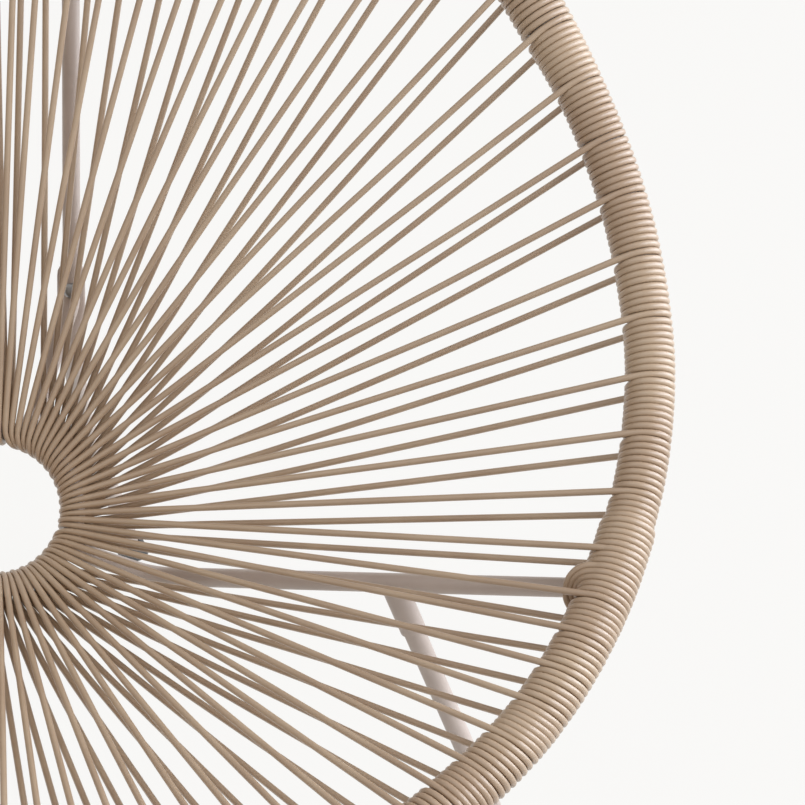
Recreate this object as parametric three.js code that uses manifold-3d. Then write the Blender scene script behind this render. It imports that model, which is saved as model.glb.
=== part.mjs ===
import * as THREE from "three";
import Module from "manifold-3d";

const wasm = await Module();
wasm.setup();
const { Manifold, Mesh } = wasm;
const V = (x, y, z) => new THREE.Vector3(x, y, z);
const degree = Math.PI / 180;

// Millimetres, +Z up. The chair faces -Y and stands on the plane Z = 0.
// Y is measured from the widest place of the rim, the arms, until the end of the file.

// Gap that pieces keep where they touch.
const clearance = 0.3;

// Rim: one closed hoop, bent once across its width. Its centre line in plan comes from the table
// of shares, and its height from two flanks with a soft bend between them.
const rim = {
  halfWidth: 352,
  frontReach: 314,
  backReach: 290,
  armHeight: 500,
  frontSlope: 14 * degree,
  backSlope: 54 * degree,
  bendPlace: 40,
  bendSoftness: 150,
  upperTubeRadius: 10,
  lowerTubeRadius: 11,
  sides: 12,
};
// Across as a share of half the width, and along as a share of the back reach, or of the front
// reach where it is negative, from the top of the back round the right arm to the front edge.
const rimPlanShares = [
  [0, 1],
  [0.23, 0.977],
  [0.44, 0.892],
  [0.64, 0.742],
  [0.835, 0.51],
  [0.92, 0.376],
  [0.977, 0.224],
  [1, 0.048],
  [0.991, -0.076],
  [0.963, -0.2],
  [0.889, -0.392],
  [0.784, -0.567],
  [0.65, -0.71],
  [0.452, -0.862],
  [0.233, -0.963],
  [0, -1],
];

// Cord: wound close on the rim, and strung as loops to the inner ring. A cell is one loop and the
// turns beside it. A ridge of the wound skin stands for a few turns.
const cord = {
  wound: 3.7,
  strung: 3.7,
  onRing: 2.3,
  freeFrom: 6,
  ridgeDepth: 1.1,
  ridgesPerPiece: 5,
  skinPoints: 8,
  sides: 3,
  topCellTurns: 6,
  wideCellTurns: 9,
  narrowCellTurns: 6.5,
  topCells: 2,
  wideCells: 20,
  narrowCells: 17,
  cellsPerPiece: 6,
  frontLeadTurns: 2.45,
  rearLeadTurns: 3.1,
  rearLeadCells: 2.5,
  turnSteps: 3,
};

// Inner ring: a round rod, tilted to face forwards and up.
const ring = {
  radius: 45,
  rodRadius: 5,
  setback: 48,
  height: 363,
  tilt: 46 * degree,
  steps: 36,
  sides: 10,
};

// Back strut: down from the rim behind the strung back to the knee, then forward under the back
// and up to the rear of the ring.
const strut = {
  radius: 5,
  rimPlace: 45,
  standOff: 26,
  inset: 6,
  kneeSpread: 44,
  kneeSetback: 96,
  kneeRise: 71,
  ringAngle: 22 * degree,
  ringStandOff: 15,
  rimBend: 17,
  kneeBend: 22,
  ringBend: 12,
  bendSteps: 4,
  sides: 12,
};

// Seat rail: from under the rim, a little above the narrow cells, inwards and up to the ring's side.
const rail = {
  radius: 5.4,
  turnsAbove: 1.7,
  standOff: 22.5,
  inset: 12,
  bendSpread: 88,
  bendReach: 21,
  bendDrop: 34,
  ringAngle: 120 * degree,
  ringStop: 2.5,
  rimBend: 16,
  ringBend: 28,
  bendSteps: 4,
  sides: 12,
};

// Legs: straight at the front, bowed outwards at the rear. A foot cap stands on the floor.
const leg = {
  radius: 6,
  sides: 14,
  frontSpread: 368,
  frontReach: 70,
  rearSpread: 95,
  rearSetback: 405,
  rearSteps: 8,
};
// Height and spread of the rear leg as shares of those between its foot and its pinched end.
const rearLegShares = [
  [1, 0],
  [0.7, 0.17],
  [0.43, 0.48],
  [0.2, 0.78],
  [0, 1],
];
// Front leg socket: a sleeve welded across the underside of the rail, at a share of its run.
const socket = { wall: 0.9, length: 30, railShare: 0.454, seat: 4, sides: 16 };
// The rear leg's upper end is pinched flat and bolted behind the strut, above its knee.
const pinch = { length: 24, halfWidth: 8, halfThickness: 1.7, taper: 20, aboveKnee: 3 };
const bolt = {
  radius: 2.5,
  headRadius: 4.6,
  headHeight: 1.6,
  domeRadius: 2.4,
  domeHeight: 1.2,
  nutRadius: 4.8,
  nutHeight: 4,
  endHeight: 1.5,
  sides: 12,
  nutSides: 6,
};
const cap = { topRadius: 8, footRadius: 11, length: 32, floor: 4, sides: 16 };

// A closed solid from points and triangles, turned to face outwards.
function solid(points, faces) {
  const make = (list) =>
    new Manifold(
      new Mesh({
        numProp: 3,
        vertProperties: new Float32Array(points.flatMap((p) => [p.x, p.y, p.z])),
        triVerts: new Uint32Array(list.flat()),
      }),
    );
  const made = make(faces);
  return made.volume() < 0 ? make(faces.map(([a, b, c]) => [a, c, b])) : made;
}

const middleOf = (points) =>
  points.reduce((sum, p) => sum.add(p), V(0, 0, 0)).divideScalar(points.length);

// Whether the skin between corners a, b and the next ring's c, d would fold inwards from a to d.
function foldsInwards([a, b, c, d], middle) {
  const face = b.clone().sub(a).cross(d.clone().sub(a));
  return c.clone().sub(a).dot(face) * a.clone().sub(middle).dot(face) > 0;
}

// A loft through rings of as many points each, closed at both ends, or back on itself. A full one
// folds outwards wherever its rings twist.
function loft(rings, closed = false, full = false) {
  const n = rings[0].length;
  const faces = [];
  const spans = closed ? rings.length : rings.length - 1;
  for (let i = 0; i < spans; i++)
    for (let j = 0; j < n; j++) {
      const a = i * n + j;
      const b = i * n + ((j + 1) % n);
      const c = ((i + 1) % rings.length) * n + j;
      const d = ((i + 1) % rings.length) * n + ((j + 1) % n);
      const corners = [a, b, c, d].map((k) => rings[Math.floor(k / n)][k % n]);
      const across = full && foldsInwards(corners, middleOf([...rings[i], ...rings[(i + 1) % rings.length]]));
      faces.push(...(across ? [[a, b, c], [b, d, c]] : [[a, b, d], [a, d, c]]));
    }
  const last = (rings.length - 1) * n;
  for (let j = 1; !closed && j < n - 1; j++) {
    faces.push([0, j + 1, j], [last, last + j, last + j + 1]);
  }
  return solid(rings.flat(), faces);
}

// An ellipse about a centre, across two directions.
const oval = (centre, across, up, a, b, sides) =>
  Array.from({ length: sides }, (_, j) => {
    const t = (2 * Math.PI * j) / sides;
    return centre
      .clone()
      .addScaledVector(across, a * Math.cos(t))
      .addScaledVector(up, b * Math.sin(t));
  });

// A straight-sided turned piece on an axis, from pairs of distance and radius.
function turned(start, axis, profile, sides) {
  const along = axis.clone().normalize();
  const side = V(1, 0, 0).cross(along).normalize();
  const up = side.clone().cross(along);
  return loft(
    profile.map(([d, r]) => oval(start.clone().addScaledVector(along, d), side, up, r, r, sides)),
  );
}

// The corners of a route, each but the ends rounded to its bend radius.
function rounded(corners, bends, steps) {
  const out = [corners[0]];
  for (let i = 1; i < corners.length - 1; i++) {
    const p = corners[i];
    const u = corners[i - 1].clone().sub(p).normalize();
    const w = corners[i + 1].clone().sub(p).normalize();
    const half = u.angleTo(w) / 2;
    const centre = u
      .clone()
      .add(w)
      .normalize()
      .multiplyScalar(bends[i - 1] / Math.sin(half))
      .add(p);
    const from = p.clone().addScaledVector(u, bends[i - 1] / Math.tan(half)).sub(centre);
    const to = p.clone().addScaledVector(w, bends[i - 1] / Math.tan(half)).sub(centre);
    const axis = from.clone().cross(to).normalize();
    for (let k = 0; k <= steps; k++)
      out.push(
        from
          .clone()
          .applyAxisAngle(axis, (from.angleTo(to) * k) / steps)
          .add(centre),
      );
  }
  out.push(corners[corners.length - 1]);
  return out;
}

// A round rod along a route, with mitred rings that don't twist.
function rod(route, radius, sides) {
  let across = V(1, 0, 0);
  return loft(
    route.map((p, i) => {
      const before = i ? p.clone().sub(route[i - 1]).normalize() : null;
      const after = i < route.length - 1 ? route[i + 1].clone().sub(p).normalize() : null;
      const along = (before || after).clone().add(after || before).normalize();
      across = across.clone().addScaledVector(along, -across.dot(along)).normalize();
      return oval(p, across, along.clone().cross(across), radius, radius, sides);
    }),
  );
}

const mirrored = (made) => made.mirror([1, 0, 0]);

// The rim's centre line, from the top of the back down its right side, round the front and back.
function rimHeight(y) {
  const front = Math.tan(rim.frontSlope);
  const back = Math.tan(rim.backSlope);
  const soft = Math.hypot(y - rim.bendPlace, rim.bendSoftness);
  const rest = Math.hypot(rim.bendPlace, rim.bendSoftness);
  return rim.armHeight + ((front + back) * y + (back - front) * (soft - rest)) / 2;
}
const rimHalf = rimPlanShares.map(([across, along]) => {
  const y = along * (along > 0 ? rim.backReach : rim.frontReach);
  return V(across * rim.halfWidth, y, rimHeight(y));
});
const rimLine = new THREE.CatmullRomCurve3(
  [
    ...rimHalf,
    ...rimHalf
      .slice(1, -1)
      .reverse()
      .map((p) => V(-p.x, p.y, p.z)),
  ],
  true,
  "centripetal",
);
rimLine.arcLengthDivisions = 3000;
const rimLength = rimLine.getLength();

// The ring's frame: its centre, the way it faces, and the way up in its plane.
const ringCentre = V(0, ring.setback, ring.height);
const ringFace = V(0, -Math.cos(ring.tilt), Math.sin(ring.tilt));
const ringUp = V(0, Math.sin(ring.tilt), Math.cos(ring.tilt));
const ringOut = (angle) =>
  V(Math.sin(angle), 0, 0).addScaledVector(ringUp, Math.cos(angle));
const ringPoint = (angle) => ringCentre.clone().addScaledVector(ringOut(angle), ring.radius);

// Cells round the rim: their turns, where each begins, and the pitch of the turns.
const halfCells = [
  ...Array(cord.topCells).fill(cord.topCellTurns),
  ...Array(cord.wideCells).fill(cord.wideCellTurns),
  ...Array(cord.narrowCells).fill(cord.narrowCellTurns),
];
const cellTurns = [...halfCells, ...halfCells.slice().reverse()];
const cellCount = cellTurns.length;
const pitch = rimLength / cellTurns.reduce((a, b) => a + b);
const cellStart = cellTurns.reduce((list, t) => [...list, list[list.length - 1] + t * pitch], [0]);

// A place on the rim: its centre, straight between the edges of its cell, its direction, the way
// in to the ring and the way forward.
const cellEdges = cellStart.map((at) => rimLine.getPointAt((at / rimLength) % 1));
function rimFrame(place) {
  const at = ((place % rimLength) + rimLength) % rimLength;
  const cell = cellStart.findLastIndex((start, i) => start <= at && i < cellCount);
  const share = (at - cellStart[cell]) / (cellStart[cell + 1] - cellStart[cell]);
  const centre = cellEdges[cell].clone().lerp(cellEdges[cell + 1], share);
  const along = rimLine.getTangentAt(at / rimLength);
  const inward = ringCentre.clone().sub(centre);
  inward.addScaledVector(along, -inward.dot(along)).normalize();
  const front = inward.clone().cross(along).normalize();
  return { centre, along, inward, front };
}

// The rails reach the rim just above the end of the wide cells. The thinner upper tube is plugged
// there into the thicker lower one, which begins one cell above that end.
const cellsAbove = cord.topCells + cord.wideCells;
const railRight = cellStart[cellsAbove] - rail.turnsAbove * pitch;
const railLeft = cellStart[cellCount - cellsAbove] + rail.turnsAbove * pitch;
const lowerFrom = cellStart[cellsAbove - 1];
const lowerTo = cellStart[cellCount - cellsAbove + 1];

// Rings round the rim at two places and at every cell's edge between them.
function rimRings(from, to, radius, sides) {
  const edges = [...cellStart.slice(1), ...cellStart.slice(1).map((place) => place + rimLength)];
  const between = edges.filter((place) => place > from + clearance && place < to - clearance);
  return [from, ...between, to].map((place) => {
    const { centre, inward, front } = rimFrame(place);
    return oval(centre, inward, front, radius, radius, sides);
  });
}
const rimRod = (from, to, radius) => loft(rimRings(from, to, radius, rim.sides));

const boreRadius = rim.upperTubeRadius + clearance;
const rimLower = rimRod(lowerFrom, lowerTo, rim.lowerTubeRadius)
  .subtract(rimRod(lowerFrom - pitch, railRight, boreRadius))
  .subtract(rimRod(railLeft, lowerTo + pitch, boreRadius));
const rimUpper = rimRod(
  railLeft + clearance,
  railRight - clearance + rimLength,
  rim.upperTubeRadius,
);
// Rods end on the rim and on the ring in saddle cuts, made with both grown by the gap.
const rimCutter = rimRod(lowerFrom - clearance, lowerTo + clearance, rim.lowerTubeRadius + clearance).add(
  rimRod(lowerTo - pitch, lowerFrom + pitch + rimLength, boreRadius),
);
const ringRod = (radius) =>
  loft(
    Array.from({ length: ring.steps }, (_, i) => {
      const angle = (2 * Math.PI * i) / ring.steps;
      return oval(ringPoint(angle), ringOut(angle), ringFace, radius, radius, ring.sides);
    }),
    true,
  );
const ringCutter = ringRod(ring.rodRadius + clearance);

// Where a strut or rail leaves the rim: straight out behind the strung cords.
const leave = (place, { standOff, inset }) => {
  const { centre, inward, front } = rimFrame(place);
  return [
    centre,
    centre.clone().addScaledVector(front, -standOff).addScaledVector(inward, inset),
  ];
};

// Back strut, right side.
const strutRoute = rounded(
  [
    ...leave(strut.rimPlace, strut),
    V(strut.kneeSpread, strut.kneeSetback, strut.kneeRise).add(ringCentre),
    ringPoint(strut.ringAngle)
      .addScaledVector(ringOut(strut.ringAngle), strut.ringStandOff)
      .addScaledVector(ringFace, -strut.ringStandOff),
    ringPoint(strut.ringAngle),
  ],
  [strut.rimBend, strut.kneeBend, strut.ringBend],
  strut.bendSteps,
);
const kneeTop = strutRoute[strut.bendSteps + 2];
const strutDown = kneeTop.clone().sub(strutRoute[strut.bendSteps + 1]).normalize();
const strutBack = V(1, 0, 0).cross(strutDown).normalize();
if (strutBack.y < 0) strutBack.negate();
const boltPlace = kneeTop.clone().addScaledVector(strutDown, -pinch.aboveKnee);
const boltTurned = (profile, sides) => turned(boltPlace, strutBack, profile, sides);
const boltHole = boltTurned(
  [
    [-strut.standOff, bolt.radius + clearance],
    [strut.standOff, bolt.radius + clearance],
  ],
  bolt.sides,
);
const backStrut = rod(strutRoute, strut.radius, strut.sides)
  .subtract(rimCutter)
  .subtract(ringCutter)
  .subtract(boltHole);

// Rear leg, right side: flat behind the strut, then round and bowed outwards to its foot.
const pinchDepth = strut.radius + clearance + pinch.halfThickness;
const pinchPlace = boltPlace.clone().addScaledVector(strutBack, pinchDepth);
const pinchTop = pinchPlace.clone().addScaledVector(strutDown, -pinch.length / 2);
const pinchEnd = pinchPlace.clone().addScaledVector(strutDown, pinch.length / 2);
const legTop = pinchEnd
  .clone()
  .addScaledVector(strutDown, pinch.taper)
  .addScaledVector(strutBack, leg.radius - pinch.halfThickness);
const rearFoot = V(leg.rearSpread, leg.rearSetback, 0);
const rearLine = new THREE.CatmullRomCurve3(
  rearLegShares.map(([rise, spread]) =>
    V(
      legTop.x + (rearFoot.x - legTop.x) * spread,
      rearFoot.y + (legTop.y - rearFoot.y) * rise,
      legTop.z * rise,
    ),
  ),
  false,
  "centripetal",
);
const frontFoot = V(leg.frontSpread, -leg.frontReach, 0);

// How far above its foot, along its own direction, a leg ends inside its cap.
const capBore = leg.radius + clearance;
const legEnd = (up) => (cap.floor + capBore * Math.hypot(up.x, up.y)) / up.z;

const rearUp = rearLine.getPointAt(1 - 1 / leg.rearSteps).sub(rearFoot).normalize();
const rearRoute = rearLine.getSpacedPoints(leg.rearSteps);
rearRoute[leg.rearSteps] = rearFoot.clone().addScaledVector(rearUp, legEnd(rearUp) + clearance);
const legRing = (centre, along, a, b) => {
  const across = V(1, 0, 0).addScaledVector(along, -along.x).normalize();
  return oval(centre, across, across.clone().cross(along), a, b, leg.sides);
};
const rearLeg = loft([
  legRing(pinchTop, strutDown, pinch.halfWidth, pinch.halfThickness),
  legRing(pinchEnd, strutDown, pinch.halfWidth, pinch.halfThickness),
  ...rearRoute.map((p, i) => {
    const to = rearRoute[Math.min(i + 1, leg.rearSteps)];
    const along = to.clone().sub(rearRoute[Math.max(i - 1, 0)]).normalize();
    return legRing(p, i ? along : strutDown, leg.radius, leg.radius);
  }),
]).subtract(boltHole);

// Knee bolt with its nut, right side.
const headPlace = -strut.radius - clearance;
const nutPlace = pinchDepth + pinch.halfThickness + clearance;
const kneeBolt = boltTurned(
  [
    [headPlace - bolt.headHeight - bolt.domeHeight, bolt.domeRadius],
    [headPlace - bolt.headHeight, bolt.headRadius],
    [headPlace, bolt.headRadius],
    [headPlace, bolt.radius],
    [nutPlace + bolt.nutHeight + bolt.endHeight, bolt.radius],
  ],
  bolt.sides,
).add(
  boltTurned(
    [
      [nutPlace, bolt.nutRadius],
      [nutPlace + bolt.nutHeight, bolt.nutRadius],
    ],
    bolt.nutSides,
  ),
);

// Seat rail, right side. Being thicker than the ring's rod, it stops short of that rod's middle.
const railBend = V(rail.bendSpread, -rail.bendReach, -rail.bendDrop).add(ringCentre);
const railEnd = ringPoint(rail.ringAngle);
railEnd.addScaledVector(railBend.clone().sub(railEnd).normalize(), rail.ringStop);
const railRoute = rounded(
  [...leave(railRight, rail), railBend, railEnd],
  [rail.rimBend, rail.ringBend],
  rail.bendSteps,
);
const seatRail = rod(railRoute, rail.radius, rail.sides).subtract(rimCutter).subtract(ringCutter);

// Front leg and its socket, right side, below a place on the rail's straight run.
const runFrom = railRoute[rail.bendSteps + 1];
const runTo = railRoute[rail.bendSteps + 2];
const socketPlace = runFrom.clone().lerp(runTo, socket.railShare);
const frontUp = socketPlace.clone().sub(frontFoot).normalize();
const frontDown = frontUp.clone().negate();
const socketEnd = rail.radius + socket.length;
const socketSeat = rail.radius + socket.seat;
const legSocket = turned(
  socketPlace,
  frontDown,
  [
    [0, capBore + socket.wall],
    [socketEnd, capBore + socket.wall],
  ],
  socket.sides,
)
  .subtract(rod(railRoute, rail.radius + clearance, rail.sides))
  .subtract(
    turned(
      socketPlace,
      frontDown,
      [
        [socketSeat, capBore],
        [socketEnd + socket.seat, capBore],
      ],
      leg.sides,
    ),
  );
const frontLeg = turned(
  socketPlace,
  frontDown,
  [
    [socketSeat + clearance, leg.radius],
    [socketPlace.distanceTo(frontFoot) - legEnd(frontUp) - clearance, leg.radius],
  ],
  leg.sides,
);

// A foot cap: round and flat on the floor, square to the leg above, with the leg's end inside.
function footCap(foot, up) {
  const across = V(1, 0, 0);
  const across2 = across.clone().addScaledVector(up, -up.x).normalize();
  const top = foot.clone().addScaledVector(up, cap.length);
  return loft([
    oval(foot, across, V(0, 1, 0), cap.footRadius, cap.footRadius, cap.sides),
    oval(top, across2, up.clone().cross(across2), cap.topRadius, cap.topRadius, cap.sides),
  ]).subtract(
    turned(
      foot,
      up,
      [
        [legEnd(up), capBore],
        [cap.length + cap.floor, capBore],
      ],
      leg.sides,
    ),
  );
}

// The wound skin between two places: one unbroken ridge round the rim, over a round bore.
function woundSkin(from, to) {
  const n = cord.skinPoints;
  const step = (to - from) / cord.ridgesPerPiece;
  const points = [];
  const known = new Map();
  const place = (at, j, lift) => {
    const key = at.toFixed(4) + " " + (j % n) + " " + (lift < 0);
    if (!known.has(key)) {
      const { centre, inward, front } = rimFrame(at);
      const grown = at > lowerFrom - step / 2 && at < lowerTo + step / 2;
      const bore = (grown ? rim.lowerTubeRadius : rim.upperTubeRadius) + clearance;
      const flats = Math.cos(Math.PI / n);
      const radius = lift < 0 ? bore / flats : (bore + cord.wound - lift) / Math.sqrt(flats);
      known.set(key, points.length);
      points.push(oval(centre, inward, front, radius, radius, n)[j % n]);
    }
    return known.get(key);
  };
  const outer = (row, j) => {
    const at = from + (row / 2 + j / n) * step;
    const inside = at > from + clearance && at < to - clearance;
    const edge = at <= from + clearance ? from : to;
    return inside ? place(at, j, row % 2 ? cord.ridgeDepth : 0) : place(edge, j, cord.ridgeDepth);
  };
  const edges = cellStart.filter((at) => at > from + clearance && at < to - clearance);
  const stations = [from, ...edges, to];
  const faces = [];
  const quad = (a, b, c, d) =>
    [
      [a, b, c],
      [a, c, d],
    ].forEach((f) => new Set(f).size > 2 && faces.push(f));
  for (let j = 0; j < n; j++) {
    for (let row = -2; row < 2 * cord.ridgesPerPiece; row++)
      quad(outer(row, j), outer(row, j + 1), outer(row + 1, j + 1), outer(row + 1, j));
    for (let i = 1; i < stations.length; i++)
      quad(
        place(stations[i - 1], j + 1, -1),
        place(stations[i - 1], j, -1),
        place(stations[i], j, -1),
        place(stations[i], j + 1, -1),
      );
    const skirt = (at) => [0, 1].map((k) => [place(at, j + k, cord.ridgeDepth), place(at, j + k, -1)]);
    const [[a, b], [c, d]] = skirt(from);
    quad(a, b, d, c);
    const [[e, f], [g, h]] = skirt(to);
    quad(f, e, g, h);
  }
  return solid(points, faces);
}

// Strung cords pass the rods at the rear: on the rim by moving aside, on the ring by closing up.
const rimAside = Math.max(strut.radius, rail.radius) + 2 * clearance + cord.strung / 2;
const rimRods = [strut.rimPlace, railRight, railLeft, rimLength - strut.rimPlace];
const besideRods = (place) => {
  const near = rimRods.find((at) => Math.abs(place - at) < rimAside);
  return near === undefined ? place : near + (place < near ? -rimAside : rimAside);
};
const ringAside = rimAside / ring.radius;
const ringRods = [strut.ringAngle, rail.ringAngle];
ringRods.push(...ringRods.map((angle) => 2 * Math.PI - angle).reverse());
const betweenRods = (angle) => {
  const turns = Math.floor(angle / (2 * Math.PI));
  const free = 1 - (ringRods.length * ringAside) / Math.PI;
  let at = (angle - turns * 2 * Math.PI) * free;
  for (const near of ringRods) if (at > near - ringAside) at += 2 * ringAside;
  return at + turns * 2 * Math.PI;
};

// One loop of cord: off the front of the rim, round the ring and back to the rear of the rim.
const turnRadius = (ring.rodRadius + clearance + cord.strung / 2) / Math.cos(Math.PI / 2 / cord.turnSteps);
function loopRoute(cell) {
  const middle = (cellStart[cell] + cellStart[cell + 1]) / 2;
  const frontPlace = middle + cord.frontLeadTurns * pitch;
  const rearPlace = besideRods(middle + cord.rearLeadTurns * pitch);
  const cellAngle = (2 * Math.PI) / cellCount;
  const frontAngle = (cell + 1 / 2) * cellAngle;
  const rearAngle = betweenRods(frontAngle + cord.rearLeadCells * cellAngle);
  const onRim = (place, side) => {
    const f = rimFrame(place);
    const grown = place > lowerFrom && place < lowerTo;
    const tube = grown ? rim.lowerTubeRadius : rim.upperTubeRadius;
    const radius = tube + clearance + cord.strung / 2;
    const reach = f.centre.distanceTo(ringCentre) - ring.radius;
    const angle = side * Math.acos(radius / reach);
    const centre = f.centre
      .clone()
      .addScaledVector(f.inward, radius * Math.cos(angle) + cord.freeFrom * Math.sin(side * angle))
      .addScaledVector(f.front, radius * Math.sin(angle) - cord.freeFrom * Math.cos(angle) * side);
    return { centre, across: f.along };
  };
  const ends = [onRim(frontPlace, 1), onRim(rearPlace, -1)];
  const onRing = (angle, turn) => ({
    centre: ringPoint(angle)
      .addScaledVector(ringOut(angle), turnRadius * Math.cos(turn))
      .addScaledVector(ringFace, turnRadius * Math.sin(turn)),
    across: ringOut(angle + Math.PI / 2),
  });
  const meet = (angle, end, side) => {
    const away = end.centre.clone().sub(ringPoint(angle));
    const reach = away.length();
    return (
      Math.atan2(away.dot(ringFace), away.dot(ringOut(angle))) + side * Math.acos(turnRadius / reach)
    );
  };
  const turnFrom = meet(frontAngle, ends[0], 1);
  const turnTo = meet(rearAngle, ends[1], -1) + 2 * Math.PI;
  const turn = Array.from({ length: cord.turnSteps + 1 }, (_, i) => {
    const share = i / cord.turnSteps;
    return onRing(
      frontAngle + (rearAngle - frontAngle) * share,
      turnFrom + (turnTo - turnFrom) * share,
    );
  });
  return { ends, turn, stations: [ends[0], ...turn, ends[1]] };
}
const loops = cellTurns.map((_, cell) => loopRoute(cell));
function cordLoop({ stations }) {
  return loft(
    stations.map(({ centre, across }, i) => {
      const to = stations[Math.min(i + 1, stations.length - 1)].centre;
      const along = to.clone().sub(stations[Math.max(i - 1, 0)].centre).normalize();
      const side = across.clone().addScaledVector(along, -across.dot(along)).normalize();
      const up = along.clone().cross(side);
      const last = i === 0 || i === stations.length - 1;
      return oval(centre, side, up, (last ? cord.strung : cord.onRing) / 2, cord.strung / 2, cord.sides);
    }),
    false,
    true,
  );
}
const turnGap = Math.min(
  ...loops.flatMap(({ turn }, i) =>
    turn.map(
      ({ centre }, k) =>
        centre.distanceTo(loops[(i + 1) % cellCount].turn[k].centre) - cord.onRing,
    ),
  ),
);
console.log("least gap between loops on the ring", turnGap.toFixed(2), "mm");

// The stubs of the struts and rails pass through the wound skin.
const stub = (route, radius) => rod(route.slice(0, strut.bendSteps + 2), radius, strut.sides);
const stubs = [stub(strutRoute, strut.radius + clearance), stub(railRoute, rail.radius + clearance)];
const stubCutter = Manifold.union([...stubs, ...stubs.map(mirrored)]);

const group = new THREE.Group();
const low = V(Infinity, Infinity, Infinity);
const high = V(-Infinity, -Infinity, -Infinity);
function add(name, made, colour) {
  const { vertProperties, triVerts } = made.getMesh();
  const geometry = new THREE.BufferGeometry();
  geometry.setAttribute("position", new THREE.BufferAttribute(vertProperties, 3));
  geometry.setIndex(new THREE.BufferAttribute(triVerts, 1));
  geometry.computeVertexNormals();
  geometry.computeBoundingBox();
  low.min(geometry.boundingBox.min);
  high.max(geometry.boundingBox.max);
  const mesh = new THREE.Mesh(geometry, new THREE.MeshStandardMaterial({ color: colour }));
  mesh.name = name;
  group.add(mesh);
}
function addPair(name, made, colour) {
  add(name + "_right", made, colour);
  add(name + "_left", mirrored(made), colour);
}
const paint = 0xcdc5bd;
const plastic = 0x1c1c1e;
const steel = 0x9a9a9a;
const vinyl = 0xb79f86;

add("rim_upper_tube", rimUpper, paint);
add("rim_lower_tube", rimLower, paint);
add("inner_ring", ringRod(ring.rodRadius), paint);
addPair("back_strut", backStrut, paint);
addPair("seat_rail", seatRail, paint);
addPair("leg_socket", legSocket, paint);
addPair("front_leg", frontLeg, paint);
addPair("rear_leg", rearLeg, paint);
addPair("knee_bolt", kneeBolt, steel);
addPair("foot_cap_front", footCap(frontFoot, frontUp), plastic);
addPair("foot_cap_rear", footCap(rearFoot, rearUp), plastic);
for (let first = 0; first < cellCount; first += cord.cellsPerPiece) {
  const last = first + cord.cellsPerPiece;
  const skin = woundSkin(cellStart[first] + clearance / 2, cellStart[last] - clearance / 2);
  const made = Manifold.union([skin, ...loops.slice(first, last).map(cordLoop)]);
  const number = String(1 + first / cord.cellsPerPiece).padStart(2, "0");
  add("seat_cord_" + number, made.subtract(stubCutter), vinyl);
}

// The middle of the outline goes over the origin.
group.position.y = -(low.y + high.y) / 2;
export default group;
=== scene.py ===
import math

import bpy
import numpy as np
from mathutils import Matrix, Vector


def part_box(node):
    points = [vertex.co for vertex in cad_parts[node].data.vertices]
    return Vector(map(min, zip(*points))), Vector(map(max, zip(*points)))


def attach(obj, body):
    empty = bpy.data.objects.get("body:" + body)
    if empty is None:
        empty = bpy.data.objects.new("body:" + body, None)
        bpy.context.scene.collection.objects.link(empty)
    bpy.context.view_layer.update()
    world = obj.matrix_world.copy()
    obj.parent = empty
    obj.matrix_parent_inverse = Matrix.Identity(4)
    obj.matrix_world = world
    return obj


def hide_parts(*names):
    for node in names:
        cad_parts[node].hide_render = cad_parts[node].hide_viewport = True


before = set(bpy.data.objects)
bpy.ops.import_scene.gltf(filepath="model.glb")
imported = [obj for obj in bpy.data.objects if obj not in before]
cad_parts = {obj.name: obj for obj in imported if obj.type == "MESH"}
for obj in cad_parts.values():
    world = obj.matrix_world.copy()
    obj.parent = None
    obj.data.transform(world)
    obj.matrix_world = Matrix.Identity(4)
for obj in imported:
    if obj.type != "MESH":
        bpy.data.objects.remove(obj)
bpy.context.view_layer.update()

print("frame loaded,", len(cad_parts), "nodes")

# Camera: a long lens, high in front of the chair and turned a little to its left side.
cameraView = {
    "place": (0, -1.5753, 1.7856),
    "yaw": 8.12,
    "pitch": 40.16,
    "roll": 4.69,
    "lens": 167.8,
    "sensor": 36,
    "seesTo": 50,  # metres
}


def makeCamera():
    yaw, pitch, roll = (math.radians(cameraView[k]) for k in ("yaw", "pitch", "roll"))
    ahead = Vector((math.sin(yaw) * math.cos(pitch), math.cos(yaw) * math.cos(pitch), -math.sin(pitch)))
    side = Vector((math.cos(yaw), -math.sin(yaw), 0))
    up = side.cross(ahead)
    right = side * math.cos(roll) + up * math.sin(roll)
    above = up * math.cos(roll) - side * math.sin(roll)
    data = bpy.data.cameras.new("camera")
    data.lens = cameraView["lens"]
    data.sensor_width = cameraView["sensor"]
    data.clip_end = cameraView["seesTo"]
    camera = bpy.data.objects.new("camera", data)
    camera.matrix_world = Matrix((right, above, -ahead)).transposed().to_4x4()
    camera.location = cameraView["place"]
    bpy.context.collection.objects.link(camera)
    bpy.context.scene.camera = camera


makeCamera()
print("camera placed")

# The chair's own sizes are in millimetres, with Y from the widest place of the rim.
metre = 1000
rim = {
    "halfWidth": 352,
    "frontReach": 314,
    "backReach": 290,
    "armHeight": 500,
    "frontSlope": 14,
    "backSlope": 54,
    "bendPlace": 40,  # where the seat's slope bends up into the back's
    "bendSoftness": 150,
    "upperRadius": 10,
    "lowerRadius": 11,
    "turns": 600,  # turns of cord that the whole rim has room for
    "lowerFrom": 183,  # the thicker lower tube begins and ends at these turns
    "lowerTo": 417,
    "steps": 160,  # points of its line from one point of its plan to the next
}
# across and along, as shares of the half width and of the back or front reach
rimPlan = [
    (0, 1), (0.23, 0.977), (0.44, 0.892), (0.64, 0.742), (0.835, 0.51), (0.92, 0.376),
    (0.977, 0.224), (1, 0.048), (0.991, -0.076), (0.963, -0.2), (0.889, -0.392),
    (0.784, -0.567), (0.65, -0.71), (0.452, -0.862), (0.233, -0.963), (0, -1),
]
ring = {"radius": 45, "rodRadius": 5, "setback": 48, "height": 363, "tilt": 46}

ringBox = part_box("inner_ring")
armsY = (ringBox[0][1] + ringBox[1][1]) / 2 * metre - ring["setback"]


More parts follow.
